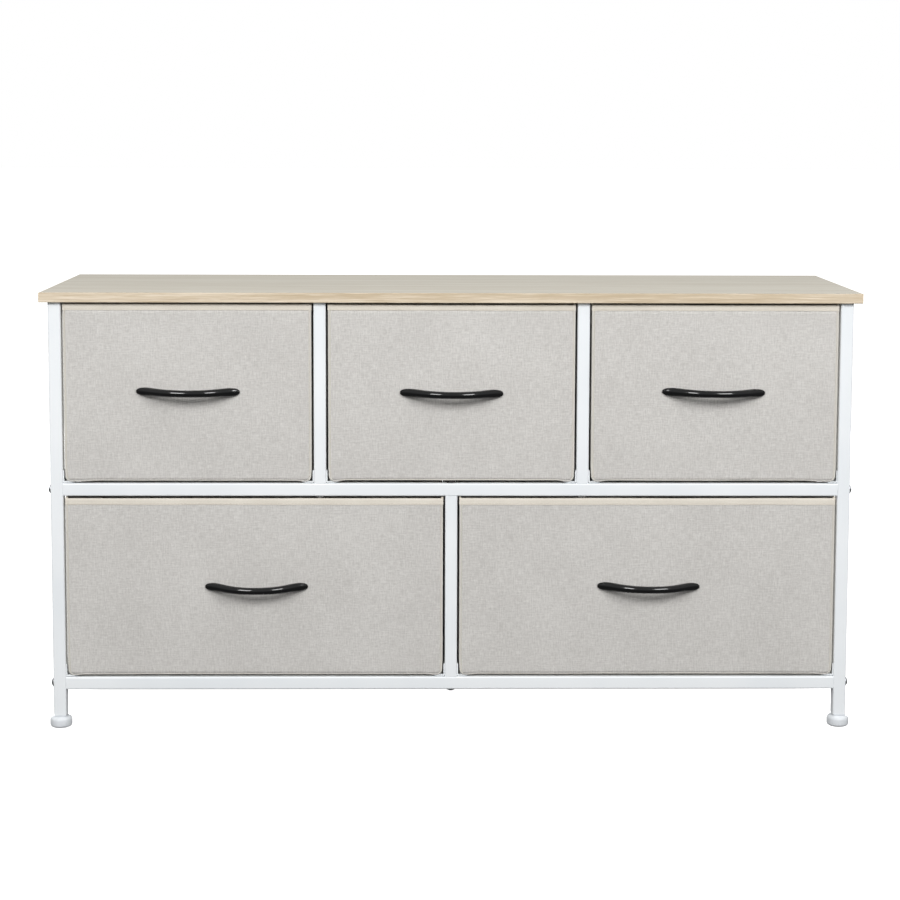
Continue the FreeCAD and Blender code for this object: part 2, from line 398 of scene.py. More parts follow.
def node_group(name, inputs):
    """Geometry node group with a geometry in and out, and named inputs."""
    group = bpy.data.node_groups.new(name, "GeometryNodeTree")
    face = group.interface
    face.new_socket("Geometry", in_out="INPUT", socket_type="NodeSocketGeometry")
    for title, kind in inputs:
        face.new_socket(title, in_out="INPUT", socket_type=kind)
    face.new_socket("Geometry", in_out="OUTPUT", socket_type="NodeSocketGeometry")
    tree = Tree(group)
    entry = tree.node("NodeGroupInput").output.node
    given = {socket.name: Socket(group, socket) for socket in entry.outputs if socket.name}
    return group, tree, given


def set_pieces(tree, given, points, turned, size):
    """End a group: real copies of its piece on the points, in their finish."""
    piece = tree.node("GeometryNodeObjectInfo", {"Object": given["Piece"]}, output="Geometry")
    placed = tree.node("GeometryNodeInstanceOnPoints", {"Points": points, "Instance": piece,
                                                        "Rotation": turned, "Scale": size})
    real = tree.node("GeometryNodeRealizeInstances", {0: placed})
    done = tree.node("GeometryNodeSetMaterial", {"Geometry": real, "Material": given["Finish"]})
    tree.node("NodeGroupOutput", {0: done})


def copies_group():
    """Copies of a piece on points, each turned to its point's direction."""
    group, tree, given = node_group("copies_on_points", (("Piece", "NodeSocketObject"),
                                                         ("Finish", "NodeSocketMaterial")))
    facing = tree.node("GeometryNodeInputNamedAttribute", {"Name": "facing"},
                       data_type="FLOAT_VECTOR")
    turned = tree.node("FunctionNodeAlignRotationToVector", {"Vector": facing}, axis="Z")
    spin = tree.node("FunctionNodeRandomValue", {2: 0.0, 3: 2 * pi, "Seed": 7}, output=1,
                     data_type="FLOAT")
    about = tree.node("FunctionNodeAxisAngleToRotation", {"Axis": (0, 0, 1), "Angle": spin})
    turned = tree.node("FunctionNodeRotateRotation", {0: turned, 1: about}, rotation_space="LOCAL")
    set_pieces(tree, given, given["Geometry"], turned, (1.0, 1.0, 1.0))
    return group


def stitches_group():
    """Evenly spaced stitches along a curve, each a little different."""
    group, tree, given = node_group("stitches_on_curve", (("Piece", "NodeSocketObject"),
                                                          ("Pitch", "NodeSocketFloat"),
                                                          ("Finish", "NodeSocketMaterial")))
    points = tree.node("GeometryNodeCurveToPoints",
                       {"Curve": given["Geometry"], "Length": given["Pitch"]}, mode="LENGTH")
    tangent = Socket(group, points.output.node.outputs["Tangent"])
    turned = tree.node("FunctionNodeAlignRotationToVector", {"Vector": tangent}, axis="Z")
    size = tree.node("FunctionNodeRandomValue", {2: 0.9, 3: 1.1, "Seed": 3}, output=1,
                     data_type="FLOAT")
    set_pieces(tree, given, points, turned, size)
    return group


copies_on_points = copies_group()
stitches_on_curve = stitches_group()


def run_group(made, group, **values):
    """Run a geometry group on an object and keep the mesh it makes."""
    modifier = made.modifiers.new(group.name, "NODES")
    modifier.node_group = group
    keys = {s.name: s.identifier for s in group.interface.items_tree if s.in_out == "INPUT"}
    for title, value in values.items():
        modifier[keys[title]] = value
    made.update_tag()
    name, mesh = made.name, modified_mesh(made)
    bpy.data.objects.remove(made)
    return add_object(name, mesh)


def set_copies(name, piece, places, finish):
    """One mesh of copies of piece at (point, direction) places."""
    mesh = bpy.data.meshes.new(name)
    mesh.from_pydata([point for point, _ in places], [], [])
    facing = mesh.attributes.new("facing", "FLOAT_VECTOR", "POINT")
    for i, (_, direction) in enumerate(places):
        facing.data[i].vector = direction
    return run_group(add_object(name, mesh), copies_on_points, Piece=piece, Finish=finish)


def sew(name, lines, piece, pitch, finish):
    """One mesh of stitches along several lines of points."""
    curve = bpy.data.curves.new(name, "CURVE")
    curve.dimensions = "3D"
    for line in lines:
        spline = curve.splines.new("POLY")
        spline.points.add(len(line) - 1)
        for point, place in zip(spline.points, line):
            point.co = (*place, 1.0)
    return run_group(add_object(name, curve), stitches_on_curve, Piece=piece, Pitch=pitch,
                     Finish=finish)


def hidden_piece(name, bm, material):
    """A piece that only its copies show."""
    made = new_object(name, bm, material)
    made.hide_render = True
    return made


def capsule(length, radius, lumps, segments, rings):
    """Rounded rod along Z, with some unevenness."""
    bm = bmesh.new()
    outline = []
    for i in range(rings + 1):
        share = i / rings
        height = (share - 0.5) * length
        thick = radius * max(0.12, (1 - abs(2 * share - 1) ** 4)) ** 0.5
        outline.append((thick * (1 + lumps * noise.noise(Vector((share * 9, 2.0, 1.0)))), height))
    revolve(bm, outline, Vector((0, 0, 0)), segments)
    return bm


def bolt_head(radius, height, socket_radius, shank_radius, shank_length):
    """Button head with a hexagon socket, its seat at the origin and its shank down -Z."""
    bm = bmesh.new()
    depth = height * 0.62

    def ring(r, z):
        return level_ring(z, 36, lambda turn: r)

    def hexagon(r, z):
        flat = r * cos(pi / 6)
        return level_ring(z, 36, lambda turn: flat / cos((turn + pi / 6) % (pi / 3) - pi / 6))

    dome = [(radius * cos(t), height * (0.25 + 0.75 * sin(t))) for t in (0.0, 0.25, 0.5, 0.75, 1.0)]
    rings = [ring(shank_radius * 0.8, -shank_length), ring(shank_radius, -shank_length + 0.6 * mm),
             ring(shank_radius, 0.0), ring(radius * 0.96, 0.0), ring(radius, height * 0.08)]
    rings += [ring(r, z) for r, z in dome]
    rings += [hexagon(socket_radius * 1.12, height), hexagon(socket_radius, height - 0.15 * mm),
              hexagon(socket_radius, height - depth),
              hexagon(socket_radius * 0.3, height - depth * 1.1)]
    loft(bm, rings)
    return bm


def screw_head(radius, height, shank_radius, shank_length):
    """Pan head with a cross recess, its seat at the origin and its shank down -Z."""
    bm = bmesh.new()

    def ring(r, z, cross=0.0):
        return level_ring(z, 32, lambda turn: r * (1 - cross * (0.5 - 0.5 * cos(4 * turn))))

    rings = [ring(shank_radius * 0.5, -shank_length), ring(shank_radius, -shank_length * 0.8),
             ring(shank_radius, 0.0), ring(radius, 0.0), ring(radius, height * 0.4),
             ring(radius * 0.86, height * 0.82), ring(radius * 0.66, height),
             ring(radius * 0.55, height, 0.6), ring(radius * 0.45, height * 0.5, 0.7),
             ring(radius * 0.1, height * 0.35)]
    loft(bm, rings)
    return bm


# ------------------------------------------------------------------ steel frame

tube_radius = 1.9 * mm
end_round = 0.25 * mm
coat = 0.35 * mm
tube_axis = {}
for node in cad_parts:
    if node.endswith("_post") or "_post_" in node:
        tube_axis[node] = 2
    elif "_rail_" in node:
        tube_axis[node] = 0
    elif node.endswith("_tubes"):
        tube_axis[node] = 1

for node, axis in tube_axis.items():
    bm = bmesh.new()
    for low, high in solid_boxes(node):
        middle, half = (low + high) / 2, (high - low) / 2
        a, b = [i for i in range(3) if i != axis]
        if "divider" not in node:
            half[a] += coat
            half[b] += coat
        outline = rounded_square(half[a], half[b], tube_radius)
        inset = rounded_square(half[a] - end_round, half[b] - end_round, tube_radius)
        rings = []
        for level, shape in ((low[axis], inset), (low[axis] + end_round, outline),
                             (high[axis] - end_round, outline), (high[axis], inset)):
            ring = []
            for p, q in shape:
                point = Vector((0, 0, 0))
                point[axis], point[a], point[b] = level, middle[a] + p, middle[b] + q
                ring.append(point)
            rings.append(ring)
        loft(bm, rings)
    made = flatten_shading(new_object(node + "_coated", bm, steel_white, sharp=60.0))
    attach(made, "frame")
    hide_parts(node)

# Cross tubes from this height up are welded along their underside, those below along their top.
top_tubes_z = 400 * mm
weld_places = []
for side in ("left", "right"):
    for low, high in solid_boxes(side + "_side_tubes"):
        middle, half = (low + high) / 2, (high - low) / 2
        for end_y in (low.y, high.y):
            for sign in (-1, 1):
                weld_places.append((Vector((middle.x, end_y, middle.z + sign * half.z)), X))
                weld_places.append((Vector((middle.x + sign * half.x, end_y, middle.z)), Z))
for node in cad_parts:
    if node.endswith("_cross_tubes"):
        for low, high in solid_boxes(node):
            middle = (low + high) / 2
            bead_z = low.z if low.z > top_tubes_z else high.z
            for end_y in (low.y, high.y):
                weld_places.append((Vector((middle.x, end_y, bead_z)), X))
bead = capsule(length=12.0 * mm, radius=1.1 * mm, lumps=0.5, segments=10, rings=14)
bead = hidden_piece("weld_bead", bead, steel_white)
welds = set_copies("welds", bead, weld_places, steel_white)
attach(welds, "frame")

head_height = 3.3 * mm
bolt = bolt_head(radius=5.7 * mm, height=head_height, socket_radius=2.3 * mm,
                 shank_radius=3.0 * mm, shank_length=24.0 * mm)
bolt_piece = hidden_piece("bolt_piece", bolt, bright_zinc)
places = []
for low, high in solid_boxes("side_bolts"):
    middle = (low + high) / 2
    side = 1 if middle.x > 0 else -1
    outer = high.x if side > 0 else low.x
    places.append((Vector((outer - side * head_height, middle.y, middle.z)), X * side))
made = set_copies("side_bolt_set", bolt_piece, places, bright_zinc)
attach(made, "frame")
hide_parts("side_bolts")

front_y = sum(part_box("front_left_post"), Vector()).y / 2
rear_y = sum(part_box("rear_left_post"), Vector()).y / 2
middle_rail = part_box("middle_rail_front")
bottom_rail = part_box("bottom_rail_front")
# The head on top of the middle rail draws the tube's wall in, which keeps it clear of the drawer.
drawn_in = 1.1 * mm
places = []
for y in (front_y, rear_y):
    for side in ("left", "right"):
        low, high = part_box("upper_divider_%s_post_front" % side)
        places.append((Vector(((low.x + high.x) / 2, y, middle_rail[0].z)), -Z))
    places.append((Vector((0, y, middle_rail[1].z - drawn_in)), Z))
    places.append((Vector((0, y, bottom_rail[0].z)), -Z))
made = set_copies("divider_bolt_set", bolt_piece, places, bright_zinc)
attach(made, "frame")

screw = screw_head(radius=3.8 * mm, height=2.2 * mm, shank_radius=1.8 * mm, shank_length=9.0 * mm)
screw_piece = hidden_piece("screw_piece", screw, bright_zinc)
tube = middle_rail[1].z - middle_rail[0].z
screw_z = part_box("top_board")[0].z - tube
screw_inset = 40 * mm
places = []
for node in ("left_side_tubes", "right_side_tubes", "upper_divider_left_cross_tubes",
             "upper_divider_right_cross_tubes"):
    low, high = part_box(node)
    for y in (low.y + screw_inset, high.y - screw_inset):
        places.append((Vector(((low.x + high.x) / 2, y, screw_z)), -Z))
made = set_copies("board_screw_set", screw_piece, places, bright_zinc)
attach(made, "frame")

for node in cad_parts:
    if node.endswith("_runners"):
        refinish(node, steel_white)
refinish("top_board", oak_top)
refinish("edge_banding", oak_edge)
refinish("tube_plugs", white_nylon)


# ------------------------------------------------------------------ levelling feet

# Radius and height in mm, from the middle of the underside up to the stud.
foot_outline = [(0.4, 0.5), (8.2, 0.5), (8.8, 0.0), (9.8, 0.0), (11.0, 0.15), (12.0, 0.6),
                (12.8, 1.3), (13.3, 2.3), (13.5, 3.4), (13.5, 8.9), (13.3, 10.1), (12.8, 11.1),
                (12.0, 12.0), (11.0, 12.6), (9.9, 12.9), (9.0, 13.1), (8.6, 13.6), (3.1, 13.6)]
thread_low, crest, root = 14.5, 3.0, 2.6

for corner in ("front_left", "front_right", "rear_left", "rear_right"):
    low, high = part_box(corner + "_foot")
    centre = Vector(((low.x + high.x) / 2, (low.y + high.y) / 2, 0))
    tip = high.z / mm
    stud = [(crest, 13.8)]
    for turn in range(int(tip - 15)):
        stud += [(crest, thread_low + turn), (root, thread_low + turn + 0.5)]
    stud += [(2.4, tip - 0.3), (0.3, tip)]
    bm = bmesh.new()
    revolve(bm, [(r * mm, z * mm) for r, z in foot_outline + stud], centre, segments=56)
    made = new_object(corner + "_foot_moulded", bm, white_nylon, sharp=50.0)
    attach(made, corner + "_leveller")
    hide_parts(corner + "_foot")


# ------------------------------------------------------------------ drawers

drawers = [name[:-len("_handle")] for name in sorted(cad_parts) if name.endswith("_handle")]
cloth, facing_cloth, lining_cloth = 1.3 * mm, 1.2 * mm, 1.1 * mm
corner_radius = 6.5 * mm
corner_cut = corner_radius * (1 - cos(pi / 4))
corner_steps = (corner_radius, 12 * mm, 20 * mm, 28 * mm)
side_tape, bottom_tape, seam = 3.0 * mm, 1.2 * mm, 0.8 * mm
stitch_pitch = 4.2 * mm


def wave(seed, a, b):
    """Smooth value from -1 to 1 with crests about 70 mm apart, other for each seed."""
    return noise.noise(Vector((a * 14.0 + seed * 7.3, b * 14.0 + seed * 3.1, 0.5)))


def swell(share):
    """0 at both ends and 1 in the middle."""
    return sin(pi * min(1.0, max(0.0, share)))


def ease(share):
    """0 up to 0, 1 from 1 on, smooth between them."""
    share = min(1.0, max(0.0, share))
    return share * share * (3 - 2 * share)


def pocket_back(name):
    """Where the cloth behind a drawer's front board lies along Y."""
    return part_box(name + "_bottom_board")[0].y - 1.0 * mm


# How each drawer and its handle sit, in mm: how far the rim stands up, how far the
# lower front edge is drawn up, how far the handle is off its place to the right and
# upwards; its turn in degrees; and how much of its depth the bow hangs down.
habits = {"upper_left": (1.6, 0.8, 0.6, 1.0, 0.4, 0.0),
          "upper_middle": (1.2, 1.4, 0.0, -0.4, 0.6, 0.005),
          "upper_right": (1.5, 1.0, -1.5, 0.8, 0.75, -0.01),
          "lower_left": (-0.3, 1.0, 2.1, -0.6, 0.0, 0.055),
          "lower_right": (0.0, 1.0, 2.1, -0.5, 0.45, 0.0)}


class Sewn:
    """Sizes of one drawer's cloth, and how far it hangs out of true."""

    def __init__(self, name, seed):
        low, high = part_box(name + "_fabric_box")
        tapes, self.slack = 0.8 * mm, 1.1 * mm
        lower = name.startswith("lower")
        self.seed = seed
        self.x0, self.x1 = low.x + tapes + self.slack, high.x - tapes - self.slack
        self.y0, self.y1 = low.y + tapes, high.y - tapes
        self.z0, self.z1 = low.z, high.z
        self.hem = (8.2 if lower else 6.2) * mm
        self.rise, self.draw = habits[name][:2]
        self.corner_rise = 1.5 if lower else 0.2
        self.seats = [(28 if name == end else 16) * mm for end in ("upper_left", "upper_right")]
        self.lining_y = pocket_back(name)

    def side_bow(self, y, z):
        """How far a side wall leans in from the front panel's edge."""
        up = (z - self.z0) / (self.z1 - self.z0)
        share = (y - self.y0) / (self.y1 - self.y0)
        bow = swell(share) * (1.0 * up ** 1.5 + 0.5 * swell(up) * wave(self.seed, y, z))
        tuck = 0.5 * (1 - ease((z - self.z0 - 9 * mm) / (8 * mm)))
        return (bow + tuck) * mm - self.slack * ease((y - self.y0 - 2 * mm) / (25 * mm))

    def left(self, y, z):
        """Where the left wall is along X."""
        return self.x0 + self.side_bow(y, z)

    def right(self, y, z):
        """Where the right wall is along X."""
        return self.x1 - self.side_bow(y, z)

    def back_bow(self, x, z):
        """How far the back wall leans in."""
        up = (z - self.z0) / (self.z1 - self.z0)
        share = (x - self.x0) / (self.x1 - self.x0)
        return swell(share) * (2.6 * up ** 1.5 + 0.9 * swell(up) * wave(self.seed + 4, x, z)) * mm

    def rim(self, x, y):
        """How far the rim stands below the box, or above it where this is negative."""
        across = swell((x - self.x0) / (self.x1 - self.x0))
        back = swell((y - self.y0) / (self.y1 - self.y0))
        dip = 0.2 * across + 0.3 * back + 0.35 * (across + back) * wave(self.seed + 9, x, y)
        behind = ease((y - self.y0) / (3 * mm))
        corner = behind * (1 - ease((y - self.y0 - 12 * mm) / (20 * mm)))
        return (dip - self.rise - 0.6 * behind - self.corner_rise * corner) * mm

    def lift(self, x, y):
        """How far the lower front edge is drawn up between the runners."""
        inside = min(x - self.x0 - self.seats[0], self.x1 - x - self.seats[1])
        drawn = (self.draw + 0.3 * wave(self.seed + 2, x, 0.0)) * ease(0.5 + inside / (10 * mm))
        return drawn * mm * (1 - ease((y - self.y0) / (8 * mm)))


def levels(start, end, step, insets=()):
    """Even levels from start to end, with extra ones a set distance inside."""
    inner = sorted(insets)
    marks = [start] + [start + i for i in inner]
    last = end - (inner[-1] if inner else 0)
    first = marks[-1]
    count = max(2, round((last - first) / step))
    marks += [first + (last - first) * i / count for i in range(1, count + 1)]
    marks += [end - i for i in reversed(inner[:-1])] + ([end] if inner else [])
    return marks


def cloth_tray(sewn):
    """Sides, back and floor of a drawer in one piece of cloth."""
    xs = levels(sewn.x0, sewn.x1, 18 * mm, corner_steps)
    ys = levels(sewn.y0 + 0.4 * mm, sewn.y1, 18 * mm, (8 * mm,))
    zs = [sewn.z0] + levels(sewn.z0 + corner_radius, sewn.z1 - 1.5 * mm, 18 * mm)
    bm = bmesh.new()
    made = {}

    def vert(i, j, k):
        if (i, j, k) not in made:
            x, y, z = xs[i], ys[j], zs[k]
            place = Vector((x, y, z))
            if i in (0, len(xs) - 1):
                place.x = sewn.left(y, z) if i == 0 else sewn.right(y, z)
                if k == 0:
                    place += Vector((corner_cut if i == 0 else -corner_cut, 0, corner_cut))
            if j == len(ys) - 1 and k > 0:
                place.y -= sewn.back_bow(x, z)
            if k == 0:
                place.z += sewn.lift(x, y)
            if k == len(zs) - 1:
                place.z -= sewn.rim(x, y)
            made[i, j, k] = bm.verts.new(place)
        return made[i, j, k]

    def sheet(rows, columns, place):
        for a in range(rows - 1):
            for b in range(columns - 1):
                square = ((a, b), (a + 1, b), (a + 1, b + 1), (a, b + 1))
                bm.faces.new([vert(*place(*corner)) for corner in square])

    nx, ny, nz = len(xs), len(ys), len(zs)
    sheet(ny, nz, lambda a, b: (0, a, b))
    sheet(ny, nz, lambda a, b: (nx - 1, a, b))
    sheet(nx, ny, lambda a, b: (a, b, 0))
    sheet(nx, nz, lambda a, b: (a, ny - 1, b))
    return bm


def thicken(made, thickness, offset):
    """Give cloth its thickness after smoothing it."""
    smooth = made.modifiers.new("smooth", "SUBSURF")
    smooth.levels = smooth.render_levels = 1
    shell = made.modifiers.new("thickness", "SOLIDIFY")
    shell.thickness = thickness
    shell.offset = offset
    shell.use_even_offset = True
    return bake(made)


def panel(sewn, y, bulge, inset, top, facing):
    """Upright cloth panel with rounded lower corners and a slight bulge."""
    xs = levels(sewn.x0 + inset, sewn.x1 - inset, 14 * mm, corner_steps)
    zs = [sewn.z0 + inset] + levels(sewn.z0 + inset + corner_radius, top, 14 * mm)
    bm = bmesh.new()
    rows = []
    for k, z in enumerate(zs):
        row = []
        for i, x in enumerate(xs):
            place = Vector((x, y, z))
            u = (x - sewn.x0) / (sewn.x1 - sewn.x0)
            v = (z - sewn.z0) / (top - sewn.z0)
            ripple = 0.25 * mm * wave(sewn.seed + facing, x, z)
            place.y += facing * swell(u) * (bulge * swell(v) + ripple)
            place.x += (1 - 2 * u) * sewn.side_bow(sewn.y0, z)
            if k == 0 and i in (0, len(xs) - 1):
                place += Vector((corner_cut if i == 0 else -corner_cut, 0, corner_cut))
            place.z += sewn.lift(x, sewn.y0) * (1 - v) ** 2
            row.append(bm.verts.new(place))
        rows.append(row)
    for a, b in zip(rows, rows[1:]):
        for i in range(len(a) - 1):
            bm.faces.new((a[i], a[i + 1], b[i + 1], b[i]))
    return bm


def edge_path(sewn, top, y):
    """Round the sides and bottom of a drawer's end: points with outward directions."""
    r = corner_radius
    x0, x1, z0 = sewn.left(y, sewn.z0), sewn.right(y, sewn.z0), sewn.z0

    def corner(x, side):
        path = []
        for i in range(1, 6):
            turn = pi / 2 * i / 6
            out = Vector((side * cos(turn), 0, -sin(turn)))
            path.append((Vector((x - side * r, 0, z0 + r)) + out * r, out))
        return path

    path = [(Vector((sewn.left(y, z), 0, z)), -X) for z in reversed(levels(z0 + r, top, 6 * mm))]
    path += corner(x0, -1)
    for x in levels(x0 + r, x1 - r, 9 * mm, (5 * mm, 10 * mm, 15 * mm, 20 * mm)):
        path.append((Vector((x, 0, z0 + sewn.lift(x, y))), -Z))
    path += reversed(corner(x1, 1))
    path += [(Vector((sewn.right(y, z), 0, z)), X) for z in levels(z0 + r, top, 6 * mm)]
    return path


def tape_width(out, side, bottom):
    """Width of the folded tape, which is narrower along the bottom."""
    return bottom + (side - bottom) * out.x ** 2


def binding(sewn, y, facing, top, side, bottom):
    """Folded tape over the seam between an end panel and the sides."""
    thick, down, proud, skin = 0.5 * mm, 6.0 * mm, 0.35 * mm, 0.3 * mm
    bm = bmesh.new()
    rings = []
    for i, (point, out) in enumerate(edge_path(sewn, top, y)):
        wobble = 0.18 * mm * wave(sewn.seed + 20, i * 0.02, y * 3)
        width = tape_width(out, side, bottom) + 1.5 * wobble
        profile = [(-width, 0.0), (-width + 0.2 * mm, proud * 0.7), (-width + 0.6 * mm, proud),
                   (-0.7 * mm, proud), (-0.1 * mm, proud * 0.6), (skin, -0.2 * mm),
                   (skin, -1.2 * mm), (skin, -down), (skin - thick * 0.8, -down),
                   (-0.1 * mm, -thick), (-width * 0.6, -thick)]
        rings.append([point + out * a + Y * (y + facing * (b + wobble * 0.5)) for a, b in profile])
    loft(bm, rings)
    for face in bm.faces:
        face.material_index = int(face.calc_center_median().z < sewn.z0 + 2 * mm)
    return bm


def hem_section(outer, inner, low, puff):
    """Section of a folded band with a bead low outside: (outward, up) pairs from the rim."""
    turn = min(1.2 * mm, (outer - inner) / 4)
    piping = [(-0.3, 0.0), (0.05, 0.12), (0.2, 0.5), (0.14, 1.0), (-0.06, 1.6)]
    return [(outer + out * mm, low + up * mm) for out, up in piping] + [
        (outer + puff, low / 2), (outer - 0.1 * mm, -1.3 * mm), (outer - turn * 0.4, -0.5 * mm),
        (outer - turn, -0.1 * mm), ((outer + inner) / 2, 0.0), (inner + turn, -0.1 * mm),
        (inner + turn * 0.4, -0.5 * mm), (inner, -1.4 * mm), (inner, low + 0.7 * mm),
        (inner + 0.5 * mm, low)]


def front_hem(sewn):
    """Cream band folded over the drawer's front and its board."""
    bm = bmesh.new()
    rings = []
    front, back = 0.45 * mm - sewn.y0, -0.4 * mm - sewn.lining_y
    x0, x1, pinched = sewn.x0 - 0.6 * mm, sewn.x1 + 0.6 * mm, 1.4 * mm
    for x in levels(x0, x1, 8 * mm, (0.5 * mm, pinched)):
        pinch = 0.6 * mm * max(0.0, 1 - min(x - x0, x1 - x) / pinched) ** 2
        top = sewn.z1 - sewn.rim(x, sewn.y0)
        low = sewn.z1 - sewn.hem + 0.3 * mm * wave(sewn.seed + 30, x, 1.0)
        puff = 0.2 * mm * wave(sewn.seed + 33, x, 2.0)
        section = hem_section(front - pinch, back + pinch, low - top, puff)
        rings.append([Vector((x, -out, top + up)) for out, up in section])
    loft(bm, rings)
    return bm


def rim_path(sewn):
    """From the front of the left side round the back to the front of the right side."""
    r, z = 2.5 * mm, sewn.z1
    x0, x1 = sewn.left(sewn.y1, z), sewn.right(sewn.y1, z)
    sides = levels(sewn.y0 + 3.0 * mm, sewn.y1 - r, 9 * mm)
    turns = [pi / 2 * i / 5 for i in range(1, 5)]
    path = [Vector((sewn.left(y, z), y, 0)) for y in sides]
    path += [Vector((x0 + r - r * cos(t), sewn.y1 - r + r * sin(t), 0)) for t in turns]
    path += [Vector((x, sewn.y1 - sewn.back_bow(x, z), 0)) for x in levels(x0 + r, x1 - r, 9 * mm)]
    path += [Vector((x1 - r + r * sin(t), sewn.y1 - r + r * cos(t), 0)) for t in turns]
    path += [Vector((sewn.right(y, z), y, 0)) for y in reversed(sides)]
    for point in path:
        point.z = sewn.z1 - sewn.rim(point.x, point.y)
    return path


def outward(path, i):
    """Level direction that points away from the drawer's inside."""
    before, after = path[max(0, i - 1)], path[min(len(path) - 1, i + 1)]
    along = (after - before).normalized()
    return Vector((-along.y, along.x, 0)).normalized()


def rim_hem(sewn):
    """Cream band folded over the sides and back."""
    bm = bmesh.new()
    path = rim_path(sewn)
    rings = []
    for i, point in enumerate(path):
        low = sewn.z1 - sewn.hem - point.z + 0.3 * mm * wave(sewn.seed + 40, i * 0.05, 3.0)
        puff = 0.12 * mm * wave(sewn.seed + 41, i * 0.04, 5.0)
        section = hem_section(0.65 * mm, -cloth - 0.6 * mm, low, puff)
        away = outward(path, i)
        rings.append([point + away * out + Z * up for out, up in section])
    loft(bm, rings)
    return bm


stitch = capsule(length=3.0 * mm, radius=0.26 * mm, lumps=0.0, segments=8, rings=6)
stitch_piece = hidden_piece("stitch_piece", stitch, cream_thread)

for seed, name in enumerate(drawers):
    sewn = Sewn(name, seed + 1)
    body = name + "_drawer"
    width, depth, height = sewn.x1 - sewn.x0, sewn.y1 - sewn.y0, sewn.z1 - sewn.z0

    under_hem = sewn.z1 - 3 * mm
    tray = new_object(name + "_tray", cloth_tray(sewn), cream_cloth, sharp=60.0)
    tray = thicken(tray, cloth, offset=-1.0)
    front = panel(sewn, sewn.y0 + facing_cloth / 2, bulge=0.7 * mm, inset=0.6 * mm,
                  top=under_hem, facing=-1)
    facing = thicken(new_object(name + "_facing", front, linen_cloth), facing_cloth, offset=0.0)
    inside = panel(sewn, sewn.lining_y - 0.6 * mm, bulge=0.5 * mm, inset=1.4 * mm,
                   top=under_hem, facing=1)
    lining = thicken(new_object(name + "_lining", inside, cream_cloth), lining_cloth, offset=0.0)

    hem_low = sewn.z1 - sewn.hem
    bands = [new_object(name + "_front_hem", front_hem(sewn), binding_cloth, sharp=60.0),
             new_object(name + "_rim_hem", rim_hem(sewn), binding_cloth, sharp=60.0)]
    row_z = hem_low + 1.8 * mm
    path = rim_path(sewn)
    outs = [outward(path, i) for i in range(len(path))]
    front_row = levels(sewn.x0 + 3 * mm, sewn.x1 - 3 * mm, 20 * mm)
    outer_row = [point + out * 0.72 * mm for point, out in zip(path, outs)]
    inner_row = [point - out * (cloth + 0.66 * mm) for point, out in zip(path, outs)][2:-2]
    rows = [[Vector((x, sewn.y0 - 0.52 * mm, row_z)) for x in front_row]]
    rows += [[Vector((*point.xy, row_z)) for point in row] for row in (outer_row, inner_row)]
    for end, y, seam_y, way, bottom in (
            ("front", sewn.y0, sewn.y0 - 0.38 * mm, -1, bottom_tape),
            ("back", sewn.y1 - 0.6 * mm, sewn.y1 - 0.22 * mm, 1, side_tape)):
        tape = binding(sewn, y, way, hem_low + 1 * mm, side_tape, bottom)
        tape = new_object(name + "_%s_binding" % end, tape, edge_cloth, sharp=60.0)
        tape.data.materials.append(linen_cloth)
        bands.append(tape)
        rows.append([point - out * (tape_width(out, side_tape, bottom) - seam) + Y * seam_y
                     for point, out in edge_path(sewn, hem_low - 1.5 * mm, seam_y)])
    stitches = sew(name + "_stitches", rows, stitch_piece, stitch_pitch, cream_thread)

    for piece in (tray, facing, lining, *bands, stitches):
        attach(piece, body)
    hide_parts(name + "_fabric_box")

    width + 2 * height
    depth + height
    width * depth + 2 * depth * height + width * height

    refinish(name + "_front_board", board_wrap)
    refinish(name + "_bottom_board", board_wrap)


# ------------------------------------------------------------------ bow handles

# Half of the bow from its middle to its tip: distance along X, distance of its
# centreline from the cloth, half thickness and half height, in mm.
bow_stations = [(0.0, 22.8, 4.2, 4.35), (10.0, 22.2, 4.2, 4.4), (20.0, 20.3, 4.15, 4.55),
                (29.0, 17.0, 4.1, 4.75), (37.0, 12.8, 4.0, 5.05), (43.0, 9.0, 3.9, 5.3),
                (48.5, 5.9, 3.6, 5.45), (53.0, 3.9, 3.1, 5.25), (57.0, 2.6, 2.5, 4.7),
                (60.3, 1.7, 1.8, 3.75), (62.3, 1.1, 1.3, 2.2), (63.0, 0.6, 0.7, 0.9)]
bow_reach = bow_stations[-1][0]
# The bow's feet stop this far from the cloth, in mm.
foot_gap = 0.02
screw_reach = 48 * mm


def between(stations, share):
    """Smooth curve through the stations, from the first at 0 to the last at 1."""
    spot = share * (len(stations) - 1)
    i = min(int(spot), len(stations) - 2)
    t = spot - i
    rows = [stations[min(max(i + k, 0), len(stations) - 1)] for k in (-1, 0, 1, 2)]
    if i == 0:
        rows[0] = (-rows[2][0],) + rows[2][1:]
    return [0.5 * (2 * b + (c - a) * t + (2 * a - 5 * b + 4 * c - d) * t ** 2
                   + (3 * b - a - 3 * c + d) * t ** 3) for a, b, c, d in zip(*rows)]


def bow(droop):
    """Round bow with two flat almond-shaped feet, hanging down by a share of its depth."""
    steps, segments = 44, 24
    half = [between(bow_stations, i / steps) for i in range(steps + 1)]
    line = [(-x, d, t, h) for x, d, t, h in reversed(half[1:])] + half
    bm = bmesh.new()
    rings = []
    for i, (x, d, thick, tall) in enumerate(line):
        a, b = line[max(i - 1, 0)], line[min(i + 1, len(line) - 1)]
        along = Vector((b[0] - a[0], -(b[1] - a[1]), 0)).normalized()
        across = Vector((along.y, -along.x, 0))
        ring = []
        for k in range(segments):
            angle = 2 * pi * k / segments
            point = Vector((x, -d, -d * droop))
            point += across * (thick * cos(angle)) + Z * (tall * sin(angle))
            point.y = min(point.y, -foot_gap)
            point.x = max(-bow_reach, min(bow_reach, point.x))
            ring.append(point * mm)
        rings.append(ring)
    loft(bm, rings)
    return bm


